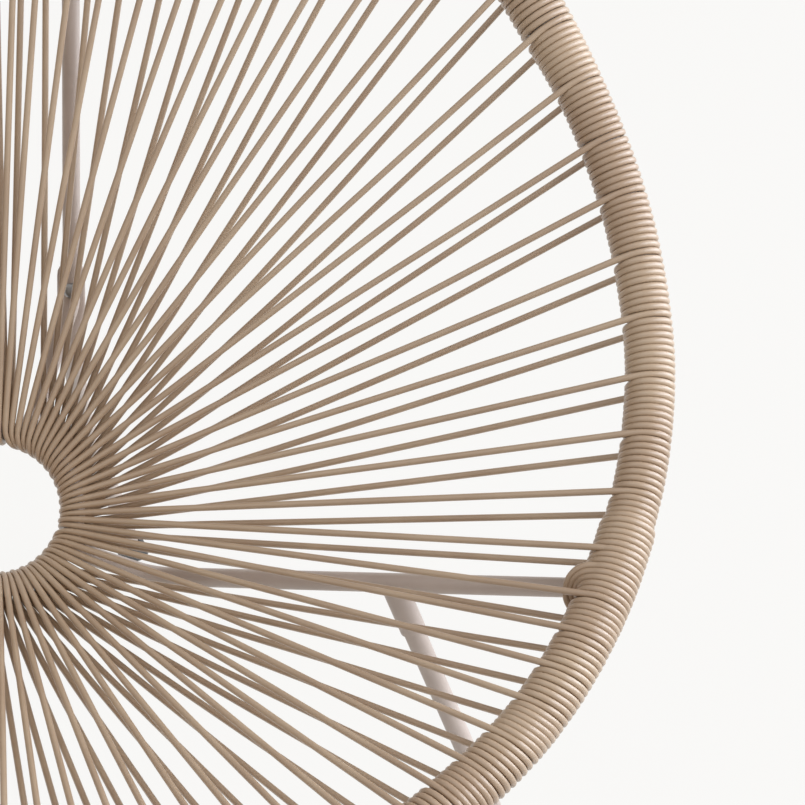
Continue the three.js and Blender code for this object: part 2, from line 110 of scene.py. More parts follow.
def unit(v):
    v = np.asarray(v, float)
    return v / np.linalg.norm(v, axis=-1, keepdims=True)


def smoothStep(x, start, end):
    x = np.clip((x - start) / (end - start), 0, 1)
    return x * x * (3 - 2 * x)


def inFrame(points):
    return (np.asarray(points, float) + (0, armsY, 0)) / metre


# A smooth line through points, with knots spaced by the root of their distances.
def smoothLine(points, closed, steps):
    points = np.asarray(points, float)
    count = len(points)
    if closed:
        padded = np.vstack([points[-1:], points, points[:2]])
        spans = count
    else:
        padded = np.vstack([2 * points[0] - points[1], points, 2 * points[-1] - points[-2]])
        spans = count - 1
    t = (np.arange(steps) / steps)[:, None]
    out = []
    for i in range(spans):
        p0, p1, p2, p3 = padded[i:i + 4]
        d0, d1, d2 = (np.linalg.norm(b - a) ** 0.5 for a, b in ((p0, p1), (p1, p2), (p2, p3)))
        m1 = ((p1 - p0) / d0 - (p2 - p0) / (d0 + d1) + (p2 - p1) / d1) * d1
        m2 = ((p2 - p1) / d1 - (p3 - p1) / (d1 + d2) + (p3 - p2) / d2) * d1
        out.append(p1 + m1 * t + (3 * (p2 - p1) - 2 * m1 - m2) * t**2 + (2 * (p1 - p2) + m1 + m2) * t**3)
    out.append(points[:1] if closed else points[-1:])
    return np.vstack(out)


def rimHeight(y):
    front = math.tan(math.radians(rim["frontSlope"]))
    back = math.tan(math.radians(rim["backSlope"]))
    soft = math.hypot(y - rim["bendPlace"], rim["bendSoftness"])
    rest = math.hypot(rim["bendPlace"], rim["bendSoftness"])
    return rim["armHeight"] + ((front + back) * y + (back - front) * (soft - rest)) / 2


def makeRimLine():
    half = []
    for across, along in rimPlan:
        y = along * (rim["backReach"] if along > 0 else rim["frontReach"])
        half.append((across * rim["halfWidth"], y, rimHeight(y)))
    mirrored = [(-x, y, z) for x, y, z in half[-2:0:-1]]
    return smoothLine(half + mirrored, True, rim["steps"])


rimLine = makeRimLine()
rimRun = np.concatenate([[0], np.cumsum(np.linalg.norm(np.diff(rimLine, axis=0), axis=1))])
rimLength = rimRun[-1]
pitch = rimLength / rim["turns"]

ringTilt = math.radians(ring["tilt"])
ringCentre = np.array([0, ring["setback"], ring["height"]], float)
ringFace = np.array([0, -math.cos(ringTilt), math.sin(ringTilt)])
ringUp = np.array([0, math.sin(ringTilt), math.cos(ringTilt)])


def ringOut(angle):
    angle = np.asarray(angle, float)[..., None]
    return np.sin(angle) * np.array([1.0, 0, 0]) + np.cos(angle) * ringUp


def ringPoint(angle):
    return ringCentre + ring["radius"] * ringOut(angle)


def onRim(place):
    place = np.asarray(place, float) % rimLength
    return np.stack([np.interp(place, rimRun, rimLine[:, k]) for k in range(3)], -1)


# Centre, direction, way in to the ring and way forward at a place on the rim.
def rimFrame(place):
    centre = onRim(place)
    along = unit(onRim(np.asarray(place) + 1) - onRim(np.asarray(place) - 1))
    inward = ringCentre - centre
    inward = unit(inward - np.sum(inward * along, -1, keepdims=True) * along)
    return centre, along, inward, np.cross(inward, along)


# The tube's radius, which changes over one turn at each end of the lower tube.
def tubeRadius(place):
    turn = (np.asarray(place, float) / pitch) % rim["turns"]
    grown = np.clip(turn - rim["lowerFrom"] + 0.5, 0, 1) * np.clip(rim["lowerTo"] + 0.5 - turn, 0, 1)
    return rim["upperRadius"] + (rim["lowerRadius"] - rim["upperRadius"]) * grown


# Meshes: rings of points joined into a skin that ends in two flat faces or closes on itself.
def loft(rings, closed=False):
    rings = np.asarray(rings, float)
    count, sides = rings.shape[:2]
    i = np.arange(count if closed else count - 1)[:, None]
    j = np.arange(sides)[None, :]
    nextI, nextJ = (i + 1) % count, (j + 1) % sides
    quads = np.stack([i * sides + j, i * sides + nextJ, nextI * sides + nextJ, nextI * sides + j], -1)
    faces = quads.reshape(-1, 4).tolist()
    if not closed:
        faces.append(list(range(sides))[::-1])
        faces.append([(count - 1) * sides + k for k in range(sides)])
    return rings.reshape(-1, 3), faces


# Faces turned so that the skin's volume is positive.
def outward(points, faces):
    total = 0
    for f in faces:
        a = points[f[0]]
        for k in range(1, len(f) - 1):
            total += np.dot(a, np.cross(points[f[k]], points[f[k + 1]]))
    return faces if total > 0 else [f[::-1] for f in faces]


# A ring of points round a centre: an ellipse, or squarer with a power above 2.
def sectionRing(centre, across, up, a, b, sides, power=2):
    t = 2 * np.pi * np.arange(sides) / sides
    c, s = np.cos(t), np.sin(t)
    x = np.sign(c) * np.abs(c) ** (2 / power) * a
    y = np.sign(s) * np.abs(s) ** (2 / power) * b
    return centre + x[:, None] * across + y[:, None] * up


def circle(centre, across, up, radius, sides):
    return sectionRing(centre, across, up, radius, radius, sides)


# Corners of a route rounded to their bend radii.
def rounded(corners, bends, steps):
    corners = [np.asarray(c, float) for c in corners]
    out = [corners[0]]
    for i in range(1, len(corners) - 1):
        p = corners[i]
        u, w = unit(corners[i - 1] - p), unit(corners[i + 1] - p)
        half = math.acos(float(np.dot(u, w))) / 2
        centre = p + unit(u + w) * bends[i - 1] / math.sin(half)
        start = p + u * bends[i - 1] / math.tan(half) - centre
        end = p + w * bends[i - 1] / math.tan(half) - centre
        turn = math.acos(float(np.dot(unit(start), unit(end))))
        for k in range(steps + 1):
            share = k / steps
            mix = math.sin(turn * (1 - share)) * start + math.sin(turn * share) * end
            out.append(centre + mix / math.sin(turn))
    out.append(corners[-1])
    return np.array(out)


# Directions along a route, and two across it that don't twist.
def carried(route):
    steps = unit(np.diff(route, axis=0))
    along = unit(np.vstack([steps[:1], steps[:-1] + steps[1:], steps[-1:]]))
    across = np.empty_like(along)
    side = np.array([1.0, 0, 0]) if abs(along[0][0]) < 0.8 else np.array([0, 1.0, 0])
    for i, a in enumerate(along):
        side = side - np.dot(side, a) * a
        side = side / math.sqrt(np.dot(side, side))
        across[i] = side
    return along, across, np.cross(along, across)


def rodRings(route, radius, sides):
    along, across, up = carried(route)
    return np.array([circle(p, a, u, radius, sides) for p, a, u in zip(route, across, up)])


# How far a point goes along a direction before it stands clear of a straight rod.
def clearOf(point, direction, rodPoint, rodDirection, radius):
    away = point - rodPoint
    away = away - np.dot(away, rodDirection) * rodDirection
    going = direction - np.dot(direction, rodDirection) * rodDirection
    a, b, c = np.dot(going, going), np.dot(going, away), np.dot(away, away) - radius**2
    inside = b * b - a * c
    return (-b + math.sqrt(inside)) / a if inside > 0 else 0


sharpFrom = 38  # degrees between two faces, from where their edge is drawn sharp


def makePiece(name, points, faces, material, nodes):
    mesh = bpy.data.meshes.new(name)
    mesh.from_pydata(inFrame(points).tolist(), [], faces)
    mesh.update()
    piece = bpy.data.objects.new(name, mesh)
    bpy.context.collection.objects.link(piece)
    mesh.materials.append(material)
    mesh.shade_smooth()
    mesh.set_sharp_from_angle(angle=math.radians(sharpFrom))
    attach(piece, "root")
    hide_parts(*nodes)
    return piece


def linear(hexColour):
    parts = [int(hexColour[i:i + 2], 16) / 255 for i in (1, 3, 5)]
    return [p / 12.92 if p <= 0.04045 else ((p + 0.055) / 1.055) ** 2.4 for p in parts] + [1]


# Adds a node. A key is the name of a setting or of a socket, or a socket's number.
def addNode(tree, kind, settings=None, links=None):
    node = tree.nodes.new(kind)
    for key, value in (settings or {}).items():
        if isinstance(key, int) or key in node.inputs:
            node.inputs[key].default_value = value
        else:
            setattr(node, key, value)
    for key, source in (links or {}).items():
        tree.links.new(source, node.inputs[key])
    return node


def newMaterial(name):
    material = bpy.data.materials.new(name)
    material.use_nodes = True
    tree = material.node_tree
    tree.nodes.clear()
    return material, tree


mixFrom, mixTo, mixedOut = 6, 7, 2  # the colour sockets of a Mix node
noiseLow, noiseHigh = 0.35, 0.65  # what Blender's noise mostly keeps within
bumpDepth = 0.1  # mm


# What all the finishes end with: a bump, a roughness that drifts with a pattern, and the shader.
def finishMaterial(tree, finish, colour, bumps, drift, settings):
    bump = addNode(tree, "ShaderNodeBump", {"Strength": finish["bump"], "Distance": bumpDepth / metre},
                   {"Height": bumps})
    rough = addNode(tree, "ShaderNodeMapRange",
                    {"To Min": finish["roughness"] - finish["roughnessDrift"],
                     "To Max": finish["roughness"] + finish["roughnessDrift"]},
                    {"Value": drift})
    shader = addNode(tree, "ShaderNodeBsdfPrincipled", settings,
                     {"Base Color": colour, "Roughness": rough.outputs["Result"],
                      "Normal": bump.outputs["Normal"]})
    addNode(tree, "ShaderNodeOutputMaterial", None, {"Surface": shader.outputs["BSDF"]})


# Soft vinyl cord, extruded: an even matt-satin skin, a little deeper in some lengths than others,
# with die lines too fine to see singly.
vinylCord = {
    "diameter": 3.7,  # mm
    "colour": "#B49A7D",
    "deeper": "#A5896D",
    "toneLength": 60,  # mm over which the tone drifts
    "toneDetail": 3,
    "roughness": 0.42,
    "roughnessDrift": 0.04,
    "skin": 1.0,  # share of the surface that the hot die left glossy
    "skinRoughness": 0.46,
    "ior": 1.53,
    "dieLine": 1.3,  # mm between die lines; really about 0.1, drawn coarser so that they show
    "dieLineLength": 250,  # mm
    "bump": 0.04,
}


def makeVinylCord():
    material, tree = newMaterial("extruded_vinyl_cord")
    where = addNode(tree, "ShaderNodeTexCoord")
    drift = addNode(tree, "ShaderNodeTexNoise",
                    {"Scale": metre / vinylCord["toneLength"], "Detail": vinylCord["toneDetail"]},
                    {"Vector": where.outputs["Object"]})
    tone = addNode(tree, "ShaderNodeMapRange", {"From Min": noiseLow, "From Max": noiseHigh},
                   {"Value": drift.outputs["Fac"]})
    colour = addNode(tree, "ShaderNodeMix",
                     {"data_type": "RGBA", mixFrom: linear(vinylCord["deeper"]),
                      mixTo: linear(vinylCord["colour"])},
                     {"Factor": tone.outputs["Result"]})
    linesRound = math.pi * vinylCord["diameter"] / vinylCord["dieLine"]
    stretch = addNode(tree, "ShaderNodeMapping",
                      {"Scale": (metre / vinylCord["dieLineLength"], linesRound, 1)},
                      {"Vector": where.outputs["UV"]})
    lines = addNode(tree, "ShaderNodeTexNoise", {"Scale": 1.0, "Detail": 0.0},
                    {"Vector": stretch.outputs["Vector"]})
    finishMaterial(tree, vinylCord, colour.outputs[mixedOut], lines.outputs["Fac"], lines.outputs["Fac"],
                   {"IOR": vinylCord["ior"], "Coat Weight": vinylCord["skin"],
                    "Coat Roughness": vinylCord["skinRoughness"]})
    return material


# Mild steel tube, powder coated: a pale satin skin with a faint orange peel.
powderCoat = {
    "colour": "#BDADA1",
    "duller": "#B2A296",
    "patch": 40,  # mm across the drift of its tone
    "patchDetail": 4,
    "roughness": 0.42,
    "roughnessDrift": 0.07,
    "ior": 1.5,
    "peel": 6,  # mm across the ripples of the coat; really about 2, drawn coarser so that they show
    "bump": 0.15,
}


def makePowderCoat():
    material, tree = newMaterial("powder_coated_steel")
    where = addNode(tree, "ShaderNodeTexCoord")
    patch = addNode(tree, "ShaderNodeTexNoise",
                    {"Scale": metre / powderCoat["patch"], "Detail": powderCoat["patchDetail"]},
                    {"Vector": where.outputs["Object"]})
    tone = addNode(tree, "ShaderNodeMapRange", {"From Min": noiseLow, "From Max": noiseHigh},
                   {"Value": patch.outputs["Fac"]})
    colour = addNode(tree, "ShaderNodeMix",
                     {"data_type": "RGBA", mixFrom: linear(powderCoat["duller"]),
                      mixTo: linear(powderCoat["colour"])},
                     {"Factor": tone.outputs["Result"]})
    peel = addNode(tree, "ShaderNodeTexNoise", {"Scale": metre / powderCoat["peel"], "Detail": 0.0},
                   {"Vector": where.outputs["Object"]})
    finishMaterial(tree, powderCoat, colour.outputs[mixedOut], peel.outputs["Fac"], patch.outputs["Fac"],
                   {"IOR": powderCoat["ior"]})
    return material


# Low-density polyethylene, moulded: near black, with a fine spark grain and scuffs at the floor.
mouldedFoot = {
    "colour": "#1F1F21",
    "scuffed": "#47464A",
    "scuffHeight": 5,  # mm
    "scuffAmount": 0.7,
    "roughness": 0.52,
    "roughnessDrift": 0.08,
    "ior": 1.51,
    "grain": 0.8,  # mm; the mould's grain is about 0.1, drawn coarser so that it shows
    "grainDetail": 2,
    "bump": 0.3,
}


def makeMouldedFoot():
    material, tree = newMaterial("moulded_polyethylene")
    where = addNode(tree, "ShaderNodeTexCoord")
    grain = addNode(tree, "ShaderNodeTexNoise",
                    {"Scale": metre / mouldedFoot["grain"], "Detail": mouldedFoot["grainDetail"]},
                    {"Vector": where.outputs["Object"]})
    height = addNode(tree, "ShaderNodeSeparateXYZ", None, {"Vector": where.outputs["Object"]})
    low = addNode(tree, "ShaderNodeMapRange",
                  {"From Min": 0.0, "From Max": mouldedFoot["scuffHeight"] / metre,
                   "To Min": mouldedFoot["scuffAmount"], "To Max": 0.0},
                  {"Value": height.outputs["Z"]})
    scuff = addNode(tree, "ShaderNodeMath", {"operation": "MULTIPLY"},
                    {0: low.outputs["Result"], 1: grain.outputs["Fac"]})
    colour = addNode(tree, "ShaderNodeMix",
                     {"data_type": "RGBA", mixFrom: linear(mouldedFoot["colour"]),
                      mixTo: linear(mouldedFoot["scuffed"])},
                     {"Factor": scuff.outputs["Value"]})
    finishMaterial(tree, mouldedFoot, colour.outputs[mixedOut], grain.outputs["Fac"], grain.outputs["Fac"],
                   {"IOR": mouldedFoot["ior"]})
    return material


# Steel bolt, zinc plated: a dull blue-grey metal, clouded where the plating has dulled.
zincPlate = {
    "colour": "#A6A7A8",
    "clouded": "#7F7D7A",
    "cloud": 3,  # mm
    "cloudDetail": 4,
    "roughness": 0.36,
    "roughnessDrift": -0.1,  # rougher where it is clouded
    "bump": 0.1,
}


def makeZincPlate():
    material, tree = newMaterial("zinc_plated_steel")
    where = addNode(tree, "ShaderNodeTexCoord")
    cloud = addNode(tree, "ShaderNodeTexNoise",
                    {"Scale": metre / zincPlate["cloud"], "Detail": zincPlate["cloudDetail"]},
                    {"Vector": where.outputs["Object"]})
    colour = addNode(tree, "ShaderNodeMix",
                     {"data_type": "RGBA", mixFrom: linear(zincPlate["clouded"]),
                      mixTo: linear(zincPlate["colour"])},
                     {"Factor": cloud.outputs["Fac"]})
    finishMaterial(tree, zincPlate, colour.outputs[mixedOut], cloud.outputs["Fac"], cloud.outputs["Fac"],
                   {"Metallic": 1.0})
    return material


cordMaterial = makeVinylCord()
coatMaterial = makePowderCoat()
footMaterial = makeMouldedFoot()
zincMaterial = makeZincPlate()
print("materials made")

# Tubes that stay as the frame has them, under the cord.
for name in ("rim_upper_tube", "rim_lower_tube", "inner_ring"):
    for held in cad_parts[name].material_slots:
        held.material = coatMaterial

# mm left open at a welded saddle, and where pieces are pushed or bolted together
saddleGap, fitGap = 0.1, 0.3

# Back strut: from the rim down behind the back, round its knee and up to the ring.
strut = {
    "radius": 5,
    "rimPlace": 45,  # along the rim from the top of the back
    "standOff": 26,  # from the middle of the rim back to the corner of its first bend
    "inset": 6,  # and inwards
    "knee": (44, 96, 71),  # from the middle of the ring
    "ringAngle": 22,
    "ringStandOff": 15,
    "bends": (17, 22, 12),
    "steps": 12,  # points of a bend
    "sides": 28,
}
# Seat rail: from under the rim inwards, then up to the side of the ring.
rail = {
    "radius": 5.4,
    "rimTurn": 190.3,  # the turn of the winding where it leaves the rim
    "standOff": 22.5,
    "inset": 12,
    "bend": (88, -21, -34),  # from the middle of the ring
    "ringAngle": 120,
    "ringStop": 2.5,  # the rail ends this far short of the middle of the ring's rod
    "bends": (16, 28),
    "steps": 12,
    "sides": 28,
}


def leaveRim(place, piece):
    centre, _, inward, front = rimFrame(place)
    return [centre, centre - front * piece["standOff"] + inward * piece["inset"]]


def strutRoute():
    angle = math.radians(strut["ringAngle"])
    end = ringPoint(angle)
    before = end + (ringOut(angle) - ringFace) * strut["ringStandOff"]
    corners = leaveRim(strut["rimPlace"], strut) + [ringCentre + strut["knee"], before, end]
    return rounded(corners, strut["bends"], strut["steps"])


def railRoute():
    bend = ringCentre + rail["bend"]
    end = ringPoint(math.radians(rail["ringAngle"]))
    end = end + unit(bend - end) * rail["ringStop"]
    corners = leaveRim(rail["rimTurn"] * pitch, rail) + [bend, end]
    return rounded(corners, rail["bends"], rail["steps"])


# The ends of the straight run between the first two bends of a rod.
def straightRun(line, rod):
    return line[rod["steps"] + 1], line[rod["steps"] + 2]


# A rod whose two ends sit as saddles on the rim and on the ring.
def saddledRod(route, place, rod):
    rings = rodRings(route, rod["radius"], rod["sides"])
    centre, along = rimFrame(place)[:2]
    going = unit(route[1] - route[0])
    clear = tubeRadius(place) + saddleGap
    rings[0] = [p + going * clearOf(p, going, centre, along, clear) for p in rings[0]]
    angle = math.radians(rod["ringAngle"])
    middle, tangent = ringPoint(angle), ringOut(angle + math.pi / 2)
    back = unit(route[-2] - route[-1])
    clear = ring["rodRadius"] + saddleGap
    rings[-1] = [p + back * max(clearOf(p, back, middle, tangent, clear), 0) for p in rings[-1]]
    return rings


flip = np.array([-1, 1, 1])
cadNames = {
    "strut": "back_strut_",
    "rail": "seat_rail_",
    "socket": "leg_socket_",
    "frontLeg": "front_leg_",
    "rearLeg": "rear_leg_",
    "bolt": "knee_bolt_",
    "frontFoot": "foot_cap_front_",
    "rearFoot": "foot_cap_rear_",
}


# A piece on the right and its mirror image on the left. A second skin closes on itself.
def bothSides(name, rings, material, secondRings=None):
    for side, turn in (("right", np.ones(3)), ("left", flip)):
        points, faces = loft(np.asarray(rings) * turn)
        faces = outward(points, faces)
        if secondRings is not None:
            morePoints, moreFaces = loft(np.asarray(secondRings) * turn, True)
            moreFaces = outward(morePoints, moreFaces)
            faces = faces + [[k + len(points) for k in face] for face in moreFaces]
            points = np.vstack([points, morePoints])
        makePiece(name + "_" + side, points, faces, material, [cadNames[name] + side])


strutLine = strutRoute()
railLine = railRoute()
bothSides("strut", saddledRod(strutLine, strut["rimPlace"], strut), coatMaterial)
bothSides("rail", saddledRod(railLine, rail["rimTurn"] * pitch, rail), coatMaterial)
print("struts and rails made")

# Legs, their sockets and feet.
leg = {
    "radius": 6,
    "sides": 28,
    "frontSpread": 368,
    "frontReach": 70,
    "frontRings": 16,
    "rearSpread": 95,
    "rearSetback": 405,
    # the rear leg's curve from its pinch to the floor, as shares of its height and of its spread
    "rearShares": [(1, 0), (0.7, 0.17), (0.43, 0.48), (0.2, 0.78), (0, 1)],
    "rearSteps": 10,  # points of the curve from one of these to the next
    "rearStraight": 8,  # how many of its last points give the direction of its end
    "rearTrim": 3,  # and how many of them give way to the end itself
}
socket = {
    "radius": 7.2,
    "bore": 6.3,
    "length": 30,
    "railShare": 0.454,  # where it stands on the straight run of the rail
    "seat": 4,  # from the rail down to the end of its bore
    "saddleRadii": (0.3, 1.5, 2.8, 3.9, 4.7, 5.3, 6, 6.6),  # rings of the end that fits the rail
    "saddleShare": 0.4,  # the first ring below the saddle, as a share of its length
    "plain": 3,  # from its mouth to the last ring before the lip
    "lip": 0.5,
    "mouth": (0.3, 0.4),  # width and depth of the chamfer of its bore
    "sides": 48,
}
# the flattened upper end of a rear leg, with places along it in mm from the bolt
pinch = {
    "length": 24,
    "halfWidth": 8,
    "halfThickness": 1.7,
    "squareness": 3.2,
    "rounding": [(-12, 5.2), (-11.2, 6.6), (-9, 7.7)],  # places and half widths at its rounded top
    "flat": (-6, 0, 8, 12),
    "taper": 20,
    "taperSteps": 8,
    "aboveKnee": 3,
}
bolt = {
    "radius": 2.5,
    "headRadius": 4.6,
    "headHeight": 2.8,
    "headShape": [(1, 0.8), (0.95, 2.2), (0.75, 3.5), (0.4, 4.4)],  # share of its height, and radius
    "headEdge": (0.2, 0.15),  # height and width of the rounding at its underside
    "nutRadius": 4.8,
    "nutHeight": 4,
    "nutChamfer": [(0, -0.25), (0.35, 0.2)],  # mm from a face of the nut, and past its radius
    "nutGap": 0.1,
    "endHeight": 1.5,
    "endChamfer": 0.5,
    "sides": 24,
}
foot = {
    "length": 32,
    "floor": 4,
    "bore": 6.3,
    "boreChamfer": 1,
    # share of its length from the floor up, and radius
    "outline": [(0, 9.6), (0.012, 10.6), (0.045, 11), (0.1, 10.9), (0.3, 10.1), (0.6, 9.1),
                (0.9, 8.25), (0.96, 8.05), (0.99, 7.7), (1, 7.2), (1, 6.4)],
    "sides": 32,
}

kneeFrom, kneeTop = straightRun(strutLine, strut)
strutDown = unit(kneeTop - kneeFrom)
strutBack = unit(np.cross((1, 0, 0), strutDown))
boltPlace = kneeTop - strutDown * pinch["aboveKnee"]
pinchDepth = strut["radius"] + fitGap + pinch["halfThickness"]
pinchPlace = boltPlace + strutBack * pinchDepth
frontFoot = np.array([leg["frontSpread"], -leg["frontReach"], 0.0])
rearFoot = np.array([leg["rearSpread"], leg["rearSetback"], 0.0])
runFrom, runTo = straightRun(railLine, rail)
socketPlace = runFrom + (runTo - runFrom) * socket["railShare"]
frontUp = unit(socketPlace - frontFoot)


# The way across a direction that lies nearest to X.
def acrossX(along):
    return unit(np.array([1.0, 0, 0]) - along[0] * along)


# How far from the floor, along its own line, a leg ends on the bottom of its foot cap.
def legEnd(up):
    return (foot["floor"] + foot["bore"] * math.hypot(up[0], up[1])) / up[2]


def makeRearLeg():
    grown = leg["radius"] - pinch["halfThickness"]
    pinchEnd = pinchPlace + strutDown * pinch["length"] / 2
    top = pinchEnd + strutDown * pinch["taper"] + strutBack * grown
    points = []
    for rise, spread in leg["rearShares"]:
        points.append((
            top[0] + (rearFoot[0] - top[0]) * spread,
            rearFoot[1] + (top[1] - rearFoot[1]) * rise,
            top[2] * rise,
        ))
    line = smoothLine(points, False, leg["rearSteps"])
    up = unit(line[-leg["rearStraight"]] - rearFoot)
    line = np.vstack([line[:-leg["rearTrim"]], rearFoot + up * (legEnd(up) + fitGap)])
    rings = []

    def addRing(centre, along, halfWidth, halfThickness, squareness=2):
        across = acrossX(along)
        rings.append(sectionRing(centre, across, np.cross(across, along), halfWidth, halfThickness,
                                 leg["sides"], squareness))

    for at, halfWidth in pinch["rounding"] + [(at, pinch["halfWidth"]) for at in pinch["flat"]]:
        addRing(pinchPlace + strutDown * at, strutDown, halfWidth, pinch["halfThickness"],
                pinch["squareness"])
    for step in range(1, pinch["taperSteps"]):  # the pinch opens into the round tube
        share = step / pinch["taperSteps"]
        ease = smoothStep(share, 0, 1)
        place = pinchEnd + strutDown * pinch["taper"] * share + strutBack * grown * ease
        addRing(place, strutDown, pinch["halfWidth"] + (leg["radius"] - pinch["halfWidth"]) * ease,
                pinch["halfThickness"] + grown * ease,
                pinch["squareness"] + (2 - pinch["squareness"]) * ease)
    directions = unit(np.gradient(line, axis=0))
    directions[0] = strutDown
    for place, along in zip(line, directions):
        addRing(place, along, leg["radius"], leg["radius"])
    return rings, up


def makeFrontLeg():
    across = unit(np.cross(frontUp, (0, 0, 1)))
    turn = np.cross(frontUp, across)
    top = rail["radius"] + socket["seat"] + fitGap
    bottom = np.linalg.norm(socketPlace - frontFoot) - legEnd(frontUp) - fitGap
    return [circle(socketPlace - frontUp * at, across, turn, leg["radius"], leg["sides"])
            for at in np.linspace(top, bottom, leg["frontRings"])]


def makeFoot(place, up):
    flat = np.array([0, 0, 1.0])
    rings = []
    for share, radius in foot["outline"]:
        normal = unit(flat * (1 - share) + up * share)
        across = acrossX(normal)
        centre = place + up * foot["length"] * share
        rings.append(circle(centre, across, np.cross(normal, across), radius, foot["sides"]))
    across = acrossX(up)
    for at in (foot["length"] - foot["boreChamfer"], legEnd(up)):
        rings.append(circle(place + up * at, across, np.cross(up, across), foot["bore"], foot["sides"]))
    return rings


def makeSocket():
    down = -frontUp
    across = unit(np.cross(down, (0, 0, 1)))
    up = np.cross(down, across)
    railDirection = unit(runTo - runFrom)
    clear = rail["radius"] + saddleGap
    radius, bore, sides = socket["radius"], socket["bore"], socket["sides"]
    end = rail["radius"] + socket["length"]
    rings = []
    for size in (*socket["saddleRadii"], radius):
        ends = circle(socketPlace, across, up, size, sides)
        rings.append([p + down * clearOf(p, down, socketPlace, railDirection, clear) for p in ends])
    mouthWidth, mouthDepth = socket["mouth"]
    outline = [
        (socket["length"] * socket["saddleShare"], radius),
        (end - socket["plain"], radius),
        (end - socket["lip"], radius),
        (end, radius - socket["lip"]),
        (end, bore + mouthWidth),
        (end - mouthDepth, bore),
        (rail["radius"] + socket["seat"], bore),
    ]
    for at, size in outline:
        rings.append(circle(socketPlace + down * at, across, up, size, sides))
    return rings


rearRings, rearUp = makeRearLeg()
bothSides("frontLeg", makeFrontLeg(), coatMaterial)
bothSides("rearLeg", rearRings, coatMaterial)
bothSides("socket", makeSocket(), coatMaterial)
bothSides("frontFoot", makeFoot(frontFoot, frontUp), footMaterial)
bothSides("rearFoot", makeFoot(rearFoot, rearUp), footMaterial)


# Bolt with a pan head in front of the strut and a nut behind the pinched leg.
def makeBolt():
    across = np.array([1.0, 0, 0])
    up = np.cross(strutBack, across)
    sides = bolt["sides"]
    front = -strut["radius"] - fitGap
    nutAt = pinchDepth + pinch["halfThickness"] + fitGap
    end = nutAt + bolt["nutHeight"] + bolt["endHeight"]
    edgeHeight, edgeWidth = bolt["headEdge"]
    profile = [(front - bolt["headHeight"] * share, radius) for share, radius in bolt["headShape"]]
    profile += [
        (front - edgeHeight, bolt["headRadius"]),
        (front, bolt["headRadius"] - edgeWidth),
        (front, bolt["radius"]),
        (0, bolt["radius"]),
        (end - bolt["endChamfer"], bolt["radius"]),
        (end, bolt["radius"] - bolt["endChamfer"]),
    ]
    shank = [circle(boltPlace + strutBack * at, across, up, radius, sides) for at, radius in profile]
    t = np.arange(sides) * 2 * math.pi / sides
    flats = bolt["nutRadius"] * math.cos(math.pi / 6) / np.cos((t % (math.pi / 3)) - math.pi / 6)
    farFace = [(bolt["nutHeight"] - at, past) for at, past in reversed(bolt["nutChamfer"])]
    nut = []
    for at, past in bolt["nutChamfer"] + farFace:
        radii = np.minimum(flats, bolt["nutRadius"] + past)
        centre = boltPlace + strutBack * (nutAt + at)
        nut.append(centre + (radii * np.cos(t))[:, None] * across + (radii * np.sin(t))[:, None] * up)
    for at in (bolt["nutHeight"], 0):
        centre = boltPlace + strutBack * (nutAt + at)
        nut.append(circle(centre, across, up, bolt["radius"] + bolt["nutGap"], sides))
    return shank, nut


shank, nut = makeBolt()
bothSides("bolt", shank, zincMaterial, nut)
print("legs, sockets, feet and bolts made")

# Cord: one length, wound on the rim and strung to the ring and back, loop by loop.
cord = {
    "radius": vinylCord["diameter"] / 2,
    "overTube": 0.1,  # left open under it
    "overRing": 0.15,
    "sides": 12,
    "turnPoints": 22,
    "ringPoints": 14,
    "wound": (1.92, 1.85, 2.1),  # wound tight on the rim: half width, half thickness, squareness
    "ringed": (1.55, 1.98, 2.2),  # the same where the loops crowd on the ring
    "ringLoops": 2.5,  # how many loops' room a loop moves on round the ring
    "ringEven": 0.6,  # the share of this move that is even; the rest eases in and out
    "ringLayer": 0.7,  # every second loop lies this much higher on the ring
    "rearTurns": 0.6,  # how many turns further on a loop comes back to the rim
    "partTurn": 0.55,  # between two loops there is a whole number of turns, and about this much
    "halfTurns": 5.05,  # how many turns the left half runs on past a mirror of the right
    "aside": 7.85,  # how far the cord keeps from the middle of a rod that leaves the rim or the ring
    "spread": 22,  # how far along the rim the turns still give way to such a rod
    "oddLift": 1.7,  # how far every second turn beside it rides up on its neighbours
    "sway": 0.13,  # how far a turn strays along the rim at most
    "lift": 0.16,  # and off it
    "seed": 11,
    "chances": 800,  # random numbers for the sway and the lift of the turns
    "firstGuess": 1.2,  # radians round the rim where the search for a touching point starts
    "searches": 4,
    "softReach": 2,  # points on each side of a corner that are softened
    "softRounds": 3,
    "sectors": 13,
}
# Points of a strand, the same from each of its ends.
strand = {
    "marks": (3.5, 7.5, 14),  # mm from the end
    "lastMark": 0.35,  # share of its length
    "twist": (0.02, 0.1, 0.3, 0.5),  # how much of its twist is done at each of these four
    "roundness": (0.5, 1, 1, 1),  # how far its section has changed to that of a free cord
}
# how far the turns lean, in turns, from the front of the rim to its rear, at some turns
leans = [
    (60, 0), (98, 0.8), (107, 1.5), (116, 0.85), (125, 0.3), (134, 0.6), (143, 0.6), (152, 0.2),
    (165, 0.1), (188, -0.2), (196, 0), (202.5, -1.05), (208, -1.4), (214.6, -1.65), (221, -1.75),
    (227.4, -1.2), (233.5, -0.6), (245, 0),
]
# how far the winding stands off the tube, in mm, at some turns: the real rim is thicker there
prouder = [(107, 1.7), (116, 0.3), (122, 0), (182.5, 0), (184.5, 0.7), (300, 0.7)]
